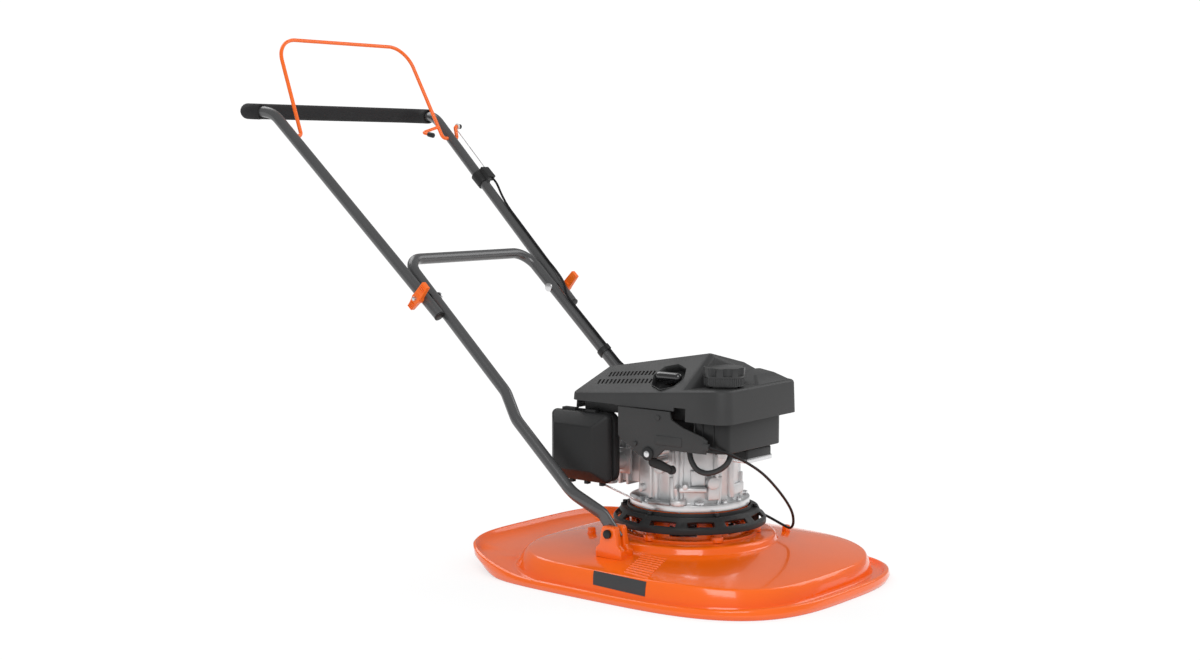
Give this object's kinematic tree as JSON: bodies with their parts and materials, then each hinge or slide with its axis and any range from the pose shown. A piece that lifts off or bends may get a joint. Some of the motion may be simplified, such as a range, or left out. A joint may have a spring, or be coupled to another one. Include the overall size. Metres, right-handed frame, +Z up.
{
  "type": "petrol hover mower",
  "caption": "Petrol hover mower with a moulded orange hood, an upright engine over an air inlet ring, a spinning blade and impeller, and a folding tube handle with a safety bail.",
  "frame": {"origin": "on the ground under the middle of the whole mower, halfway between the front of the hood and the back of the grip", "axes": "+Z up, the front of the hood faces -Y, the handle rises towards +Y, +X is the operator's left when walking behind"},
  "size_m": [0.58, 1.3446, 1.0261],
  "materials": {
    "hood_orange": "moulded, glossy",
    "moulded_black": "fine moulded grain",
    "black_screws": "blackened",
    "bright_steel": "zinc plated",
    "cast_alloy": "as cast, flange machined",
    "sheet_steel": "heat dulled",
    "black_rubber": "smooth",
    "filter_paper": "pleated paper",
    "cover_grey": "fine moulded grain",
    "rope_white": "braided",
    "grip_black": "glossy",
    "blade_steel": "painted, ground edge",
    "tube_grey": "powder coated",
    "lever_orange": "satin moulded",
    "foam_black": "closed cell foam",
    "bail_orange": "powder coated",
    "collar_white": "satin"
  },
  "bodies": {
    "deck": {"deck_hood": "hood_orange", "engine_platform": "hood_orange", "intake_ring": "moulded_black", "ring_screws": "black_screws", "pivot_bracket_right": "hood_orange", "pivot_bracket_left": "hood_orange", "pivot_bolts": "black_screws", "pivot_nuts": "bright_steel", "sump_flange": "cast_alloy", "engine_bolts": "bright_steel", "crankcase": "cast_alloy", "valve_cover": "cast_alloy", "spark_plug": "bright_steel", "plug_lead": "black_rubber", "ignition_coil": "moulded_black", "carburettor": "cast_alloy", "air_box_base": "moulded_black", "air_filter": "filter_paper", "air_box_cover": "moulded_black", "muffler": "sheet_steel", "muffler_guard": "sheet_steel", "fuel_tank": "moulded_black", "fuel_hose": "black_rubber", "tank_shoe": "moulded_black", "control_panel": "moulded_black", "panel_screw": "bright_steel", "recoil_frame": "bright_steel", "recoil_spring": "bright_steel", "starter_rope": "rope_white", "top_cover": "cover_grey", "oil_plug": "moulded_black", "cable_loop": "black_rubber"},
    "rotor": {"crankshaft": "bright_steel", "flywheel": "cast_alloy", "impeller": "moulded_black", "blade_spacers": "moulded_black", "blade": "blade_steel", "blade_washer": "bright_steel", "blade_bolt": "bright_steel"},
    "lower_handle": {"lower_handle": "tube_grey", "fold_bolts": "bright_steel", "fold_washers": "moulded_black", "cable_clip": "moulded_black", "cable_lower": "black_rubber", "cable_fold": "black_rubber"},
    "upper_handle": {"upper_handle": "tube_grey", "grip_sleeve": "foam_black", "cable_bracket": "moulded_black", "cable_upper": "black_rubber", "inner_wire": "bright_steel"},
    "bail": {"bail": "bail_orange", "bail_caps": "black_rubber", "bail_collar": "collar_white"},
    "brake_arm": {"brake_arm": "bright_steel"},
    "lever_nut_right": {"lever_nut_right": "lever_orange"},
    "lever_nut_left": {"lever_nut_left": "lever_orange"},
    "starter_grip": {"starter_grip": "grip_black"},
    "recoil_pulley": {"recoil_pulley": "moulded_black"},
    "fuel_cap": {"fuel_cap": "cover_grey"},
    "fuel_lever": {"fuel_lever": "moulded_black"}
  },
  "joints": [
    {"name": "rotor_spin", "type": "hinge", "parent": "deck", "child": "rotor", "pos_m": [0, -0.32232, 0.04], "axis": [0, 0, 1], "continuous": true},
    {"name": "handle_pivot", "type": "hinge", "parent": "deck", "child": "lower_handle", "pos_m": [0, -0.29732, 0.104], "axis": [1, 0, 0], "range_deg": [0, 60], "deforming": ["cable_loop"]},
    {"name": "handle_fold", "type": "hinge", "parent": "lower_handle", "child": "upper_handle", "pos_m": [0, 0.16768, 0.505], "axis": [1, 0, 0], "range_deg": [0, 120], "deforming": ["cable_fold"]},
    {"name": "bail_squeeze", "type": "hinge", "parent": "upper_handle", "child": "bail", "pos_m": [0, 0.51383, 0.81997], "axis": [1, 0, 0], "range_deg": [-35, 0], "stiffness_Nm_per_rad": 1, "springref_deg": 51.57, "deforming": ["inner_wire"]},
    {"name": "brake_arm_turn", "type": "hinge", "parent": "deck", "child": "brake_arm", "pos_m": [-0.146, -0.43432, 0.27], "axis": [1, 0, 0], "range_deg": [0, 17.5]},
    {"name": "lever_nut_right_turn", "type": "hinge", "parent": "lower_handle", "child": "lever_nut_right", "pos_m": [-0.22, 0.16768, 0.505], "axis": [1, 0, 0], "range_deg": [0, 180]},
    {"name": "lever_nut_left_turn", "type": "hinge", "parent": "lower_handle", "child": "lever_nut_left", "pos_m": [0.22, 0.16768, 0.505], "axis": [1, 0, 0], "range_deg": [0, 180]},
    {"name": "starter_pull", "type": "slide", "parent": "deck", "child": "starter_grip", "axis": [-0.5878, 0, 0.809], "range_m": [0, 0.6], "stiffness_N_per_m": 8, "springref_m": -0.3, "deforming": ["starter_rope"]},
    {"name": "recoil_spin", "type": "hinge", "parent": "deck", "child": "recoil_pulley", "pos_m": [0, -0.32232, 0.324], "axis": [0, 0, -1], "range_deg": [0, 905], "deforming": ["recoil_spring"]},
    {"name": "fuel_cap_turn", "type": "hinge", "parent": "deck", "child": "fuel_cap", "pos_m": [-0.093, -0.46432, 0.391], "axis": [0, 0, 1], "range_deg": [0, 120]},
    {"name": "fuel_lever_turn", "type": "hinge", "parent": "deck", "child": "fuel_lever", "pos_m": [-0.132, -0.33832, 0.228], "axis": [1, 0, 0], "range_deg": [0, 60]}
  ],
  "couplings": [
    {"joint": "brake_arm_turn", "follows": "bail_squeeze", "ratio": -0.5},
    {"joint": "recoil_spin", "follows": "starter_pull", "rad_per_m": 26.316}
  ]
}
